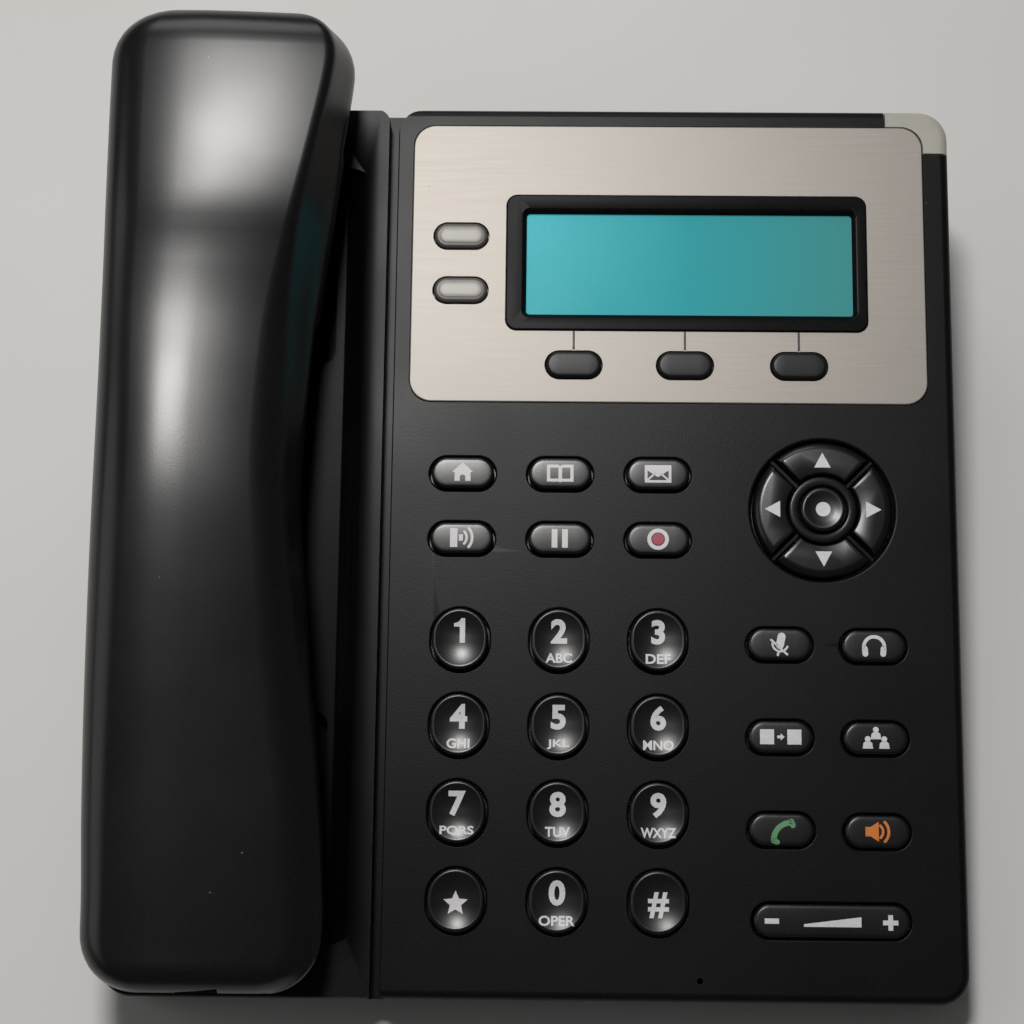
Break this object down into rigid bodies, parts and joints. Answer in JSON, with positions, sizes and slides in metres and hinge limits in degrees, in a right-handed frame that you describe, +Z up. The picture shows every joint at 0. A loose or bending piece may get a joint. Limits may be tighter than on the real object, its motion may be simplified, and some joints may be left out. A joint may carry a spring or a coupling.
{
  "type": "desk ip phone",
  "caption": "Desk network telephone with a sloping keypad and display panel, travelling keys, a volume rocker and a handset lying in a cradle on the left.",
  "frame": {"origin": "centre of the whole object's footprint, on the table under the feet", "axes": "+X to the right as the user faces the phone, +Y away from the user, +Z up"},
  "size_m": [0.1862, 0.2064, 0.077],
  "materials": {
    "dark_housing": "fine matte texture",
    "dark_base": "matte",
    "silver_fascia": "satin, fine brushed",
    "black_gloss": "gloss",
    "display_glass": "clear, teal backlight",
    "display_panel": "satin",
    "lamp_lens": "translucent, frosted",
    "key_rubber": "matte",
    "circuit_board": "solder resist",
    "inner_plastic": "matte",
    "jack_metal": "satin",
    "screw_steel": "zinc plated",
    "foot_rubber": "matte",
    "handset_plastic": "semi-gloss, fine grain",
    "key_black": "gloss",
    "soft_key_grey": "satin",
    "line_key_clear": "translucent"
  },
  "bodies": {
    "housing": {"lower_housing": "dark_base", "upper_housing": "dark_housing", "display_fascia": "silver_fascia", "lcd_bezel": "black_gloss", "lcd_window": "display_glass", "lcd_module": "display_panel", "message_lamp": "lamp_lens", "nav_bezel": "black_gloss", "keypad_mat": "key_rubber", "keypad_board": "circuit_board", "main_board": "circuit_board", "loudspeaker": "inner_plastic", "network_jacks": "jack_metal", "power_jack": "inner_plastic", "side_jacks": "inner_plastic", "cradle_tab": "inner_plastic", "rubber_feet": "foot_rubber", "screws": "screw_steel", "hook_microswitch": "inner_plastic"},
    "handset": {"handset_top_shell": "handset_plastic", "handset_bottom_shell": "handset_plastic", "handset_receiver": "jack_metal", "handset_microphone": "inner_plastic", "handset_jack": "inner_plastic"},
    "hook_plunger": {"hook_plunger": "inner_plastic"},
    "key_1": {"key_1": "key_black"},
    "key_2": {"key_2": "key_black"},
    "key_3": {"key_3": "key_black"},
    "key_4": {"key_4": "key_black"},
    "key_5": {"key_5": "key_black"},
    "key_6": {"key_6": "key_black"},
    "key_7": {"key_7": "key_black"},
    "key_8": {"key_8": "key_black"},
    "key_9": {"key_9": "key_black"},
    "key_star": {"key_star": "key_black"},
    "key_0": {"key_0": "key_black"},
    "key_hash": {"key_hash": "key_black"},
    "home_key": {"home_key": "key_black"},
    "phonebook_key": {"phonebook_key": "key_black"},
    "message_key": {"message_key": "key_black"},
    "intercom_key": {"intercom_key": "key_black"},
    "hold_key": {"hold_key": "key_black"},
    "record_key": {"record_key": "key_black"},
    "mute_key": {"mute_key": "key_black"},
    "headset_key": {"headset_key": "key_black"},
    "transfer_key": {"transfer_key": "key_black"},
    "conference_key": {"conference_key": "key_black"},
    "send_key": {"send_key": "key_black"},
    "speaker_key": {"speaker_key": "key_black"},
    "soft_key_1": {"soft_key_1": "soft_key_grey"},
    "soft_key_2": {"soft_key_2": "soft_key_grey"},
    "soft_key_3": {"soft_key_3": "soft_key_grey"},
    "line_key_1": {"line_key_1": "line_key_clear"},
    "line_key_2": {"line_key_2": "line_key_clear"},
    "nav_right": {"nav_right": "key_black"},
    "nav_up": {"nav_up": "key_black"},
    "nav_left": {"nav_left": "key_black"},
    "nav_down": {"nav_down": "key_black"},
    "ok_key": {"ok_key": "key_black"},
    "volume_rocker": {"volume_rocker": "key_black"}
  },
  "joints": [
    {"name": "handset_lift", "type": "slide", "parent": "housing", "child": "handset", "axis": [0, -0.165, 0.9863], "range_m": [0, 0.12]},
    {"name": "hook_plunger_rise", "type": "slide", "parent": "housing", "child": "hook_plunger", "axis": [0, -0.165, 0.9863], "range_m": [0, 0.0035]},
    {"name": "volume_rock", "type": "hinge", "parent": "housing", "child": "volume_rocker", "pos_m": [0.0652, -0.08617, 0.01636], "axis": [0, 0.9863, 0.165], "range_deg": [-2.5, 2.5], "stiffness_Nm_per_rad": 0.15, "deforming": ["keypad_mat"]},
    {"name": "key_1_press", "type": "slide", "parent": "housing", "child": "key_1", "axis": [0, 0.165, -0.9863], "range_m": [0, 0.0012], "stiffness_N_per_m": 300, "springref_m": -0.001, "deforming": ["keypad_mat"]},
    {"name": "key_2_press", "type": "slide", "parent": "housing", "child": "key_2", "axis": [0, 0.165, -0.9863], "range_m": [0, 0.0012], "stiffness_N_per_m": 300, "springref_m": -0.001, "deforming": ["keypad_mat"]},
    {"name": "key_3_press", "type": "slide", "parent": "housing", "child": "key_3", "axis": [0, 0.165, -0.9863], "range_m": [0, 0.0012], "stiffness_N_per_m": 300, "springref_m": -0.001, "deforming": ["keypad_mat"]},
    {"name": "key_4_press", "type": "slide", "parent": "housing", "child": "key_4", "axis": [0, 0.165, -0.9863], "range_m": [0, 0.0012], "stiffness_N_per_m": 300, "springref_m": -0.001, "deforming": ["keypad_mat"]},
    {"name": "key_5_press", "type": "slide", "parent": "housing", "child": "key_5", "axis": [0, 0.165, -0.9863], "range_m": [0, 0.0012], "stiffness_N_per_m": 300, "springref_m": -0.001, "deforming": ["keypad_mat"]},
    {"name": "key_6_press", "type": "slide", "parent": "housing", "child": "key_6", "axis": [0, 0.165, -0.9863], "range_m": [0, 0.0012], "stiffness_N_per_m": 300, "springref_m": -0.001, "deforming": ["keypad_mat"]},
    {"name": "key_7_press", "type": "slide", "parent": "housing", "child": "key_7", "axis": [0, 0.165, -0.9863], "range_m": [0, 0.0012], "stiffness_N_per_m": 300, "springref_m": -0.001, "deforming": ["keypad_mat"]},
    {"name": "key_8_press", "type": "slide", "parent": "housing", "child": "key_8", "axis": [0, 0.165, -0.9863], "range_m": [0, 0.0012], "stiffness_N_per_m": 300, "springref_m": -0.001, "deforming": ["keypad_mat"]},
    {"name": "key_9_press", "type": "slide", "parent": "housing", "child": "key_9", "axis": [0, 0.165, -0.9863], "range_m": [0, 0.0012], "stiffness_N_per_m": 300, "springref_m": -0.001, "deforming": ["keypad_mat"]},
    {"name": "key_star_press", "type": "slide", "parent": "housing", "child": "key_star", "axis": [0, 0.165, -0.9863], "range_m": [0, 0.0012], "stiffness_N_per_m": 300, "springref_m": -0.001, "deforming": ["keypad_mat"]},
    {"name": "key_0_press", "type": "slide", "parent": "housing", "child": "key_0", "axis": [0, 0.165, -0.9863], "range_m": [0, 0.0012], "stiffness_N_per_m": 300, "springref_m": -0.001, "deforming": ["keypad_mat"]},
    {"name": "key_hash_press", "type": "slide", "parent": "housing", "child": "key_hash", "axis": [0, 0.165, -0.9863], "range_m": [0, 0.0012], "stiffness_N_per_m": 300, "springref_m": -0.001, "deforming": ["keypad_mat"]},
    {"name": "nav_right_press", "type": "slide", "parent": "housing", "child": "nav_right", "axis": [0, 0.165, -0.9863], "range_m": [0, 0.0007], "stiffness_N_per_m": 300, "springref_m": -0.001, "deforming": ["keypad_mat"]},
    {"name": "nav_up_press", "type": "slide", "parent": "housing", "child": "nav_up", "axis": [0, 0.165, -0.9863], "range_m": [0, 0.0007], "stiffness_N_per_m": 300, "springref_m": -0.001, "deforming": ["keypad_mat"]},
    {"name": "nav_left_press", "type": "slide", "parent": "housing", "child": "nav_left", "axis": [0, 0.165, -0.9863], "range_m": [0, 0.0007], "stiffness_N_per_m": 300, "springref_m": -0.001, "deforming": ["keypad_mat"]},
    {"name": "nav_down_press", "type": "slide", "parent": "housing", "child": "nav_down", "axis": [0, 0.165, -0.9863], "range_m": [0, 0.0007], "stiffness_N_per_m": 300, "springref_m": -0.001, "deforming": ["keypad_mat"]},
    {"name": "ok_key_press", "type": "slide", "parent": "housing", "child": "ok_key", "axis": [0, 0.165, -0.9863], "range_m": [0, 0.0008], "stiffness_N_per_m": 300, "springref_m": -0.001, "deforming": ["keypad_mat"]},
    {"name": "home_key_press", "type": "slide", "parent": "housing", "child": "home_key", "axis": [0, 0.165, -0.9863], "range_m": [0, 0.0008], "stiffness_N_per_m": 300, "springref_m": -0.001, "deforming": ["keypad_mat"]},
    {"name": "phonebook_key_press", "type": "slide", "parent": "housing", "child": "phonebook_key", "axis": [0, 0.165, -0.9863], "range_m": [0, 0.0008], "stiffness_N_per_m": 300, "springref_m": -0.001, "deforming": ["keypad_mat"]},
    {"name": "message_key_press", "type": "slide", "parent": "housing", "child": "message_key", "axis": [0, 0.165, -0.9863], "range_m": [0, 0.0008], "stiffness_N_per_m": 300, "springref_m": -0.001, "deforming": ["keypad_mat"]},
    {"name": "intercom_key_press", "type": "slide", "parent": "housing", "child": "intercom_key", "axis": [0, 0.165, -0.9863], "range_m": [0, 0.0008], "stiffness_N_per_m": 300, "springref_m": -0.001, "deforming": ["keypad_mat"]},
    {"name": "hold_key_press", "type": "slide", "parent": "housing", "child": "hold_key", "axis": [0, 0.165, -0.9863], "range_m": [0, 0.0008], "stiffness_N_per_m": 300, "springref_m": -0.001, "deforming": ["keypad_mat"]},
    {"name": "record_key_press", "type": "slide", "parent": "housing", "child": "record_key", "axis": [0, 0.165, -0.9863], "range_m": [0, 0.0008], "stiffness_N_per_m": 300, "springref_m": -0.001, "deforming": ["keypad_mat"]},
    {"name": "mute_key_press", "type": "slide", "parent": "housing", "child": "mute_key", "axis": [0, 0.165, -0.9863], "range_m": [0, 0.0008], "stiffness_N_per_m": 300, "springref_m": -0.001, "deforming": ["keypad_mat"]},
    {"name": "headset_key_press", "type": "slide", "parent": "housing", "child": "headset_key", "axis": [0, 0.165, -0.9863], "range_m": [0, 0.0008], "stiffness_N_per_m": 300, "springref_m": -0.001, "deforming": ["keypad_mat"]},
    {"name": "transfer_key_press", "type": "slide", "parent": "housing", "child": "transfer_key", "axis": [0, 0.165, -0.9863], "range_m": [0, 0.0008], "stiffness_N_per_m": 300, "springref_m": -0.001, "deforming": ["keypad_mat"]},
    {"name": "conference_key_press", "type": "slide", "parent": "housing", "child": "conference_key", "axis": [0, 0.165, -0.9863], "range_m": [0, 0.0008], "stiffness_N_per_m": 300, "springref_m": -0.001, "deforming": ["keypad_mat"]},
    {"name": "send_key_press", "type": "slide", "parent": "housing", "child": "send_key", "axis": [0, 0.165, -0.9863], "range_m": [0, 0.0008], "stiffness_N_per_m": 300, "springref_m": -0.001, "deforming": ["keypad_mat"]},
    {"name": "speaker_key_press", "type": "slide", "parent": "housing", "child": "speaker_key", "axis": [0, 0.165, -0.9863], "range_m": [0, 0.0008], "stiffness_N_per_m": 300, "springref_m": -0.001, "deforming": ["keypad_mat"]},
    {"name": "soft_key_1_press", "type": "slide", "parent": "housing", "child": "soft_key_1", "axis": [0, 0.165, -0.9863], "range_m": [0, 0.0008], "stiffness_N_per_m": 300, "springref_m": -0.001, "deforming": ["keypad_mat"]},
    {"name": "soft_key_2_press", "type": "slide", "parent": "housing", "child": "soft_key_2", "axis": [0, 0.165, -0.9863], "range_m": [0, 0.0008], "stiffness_N_per_m": 300, "springref_m": -0.001, "deforming": ["keypad_mat"]},
    {"name": "soft_key_3_press", "type": "slide", "parent": "housing", "child": "soft_key_3", "axis": [0, 0.165, -0.9863], "range_m": [0, 0.0008], "stiffness_N_per_m": 300, "springref_m": -0.001, "deforming": ["keypad_mat"]},
    {"name": "line_key_1_press", "type": "slide", "parent": "housing", "child": "line_key_1", "axis": [0, 0.165, -0.9863], "range_m": [0, 0.0008], "stiffness_N_per_m": 300, "springref_m": -0.001, "deforming": ["keypad_mat"]},
    {"name": "line_key_2_press", "type": "slide", "parent": "housing", "child": "line_key_2", "axis": [0, 0.165, -0.9863], "range_m": [0, 0.0008], "stiffness_N_per_m": 300, "springref_m": -0.001, "deforming": ["keypad_mat"]}
  ],
  "couplings": [
    {"joint": "hook_plunger_rise", "follows": "handset_lift", "ratio": 0.029167}
  ]
}
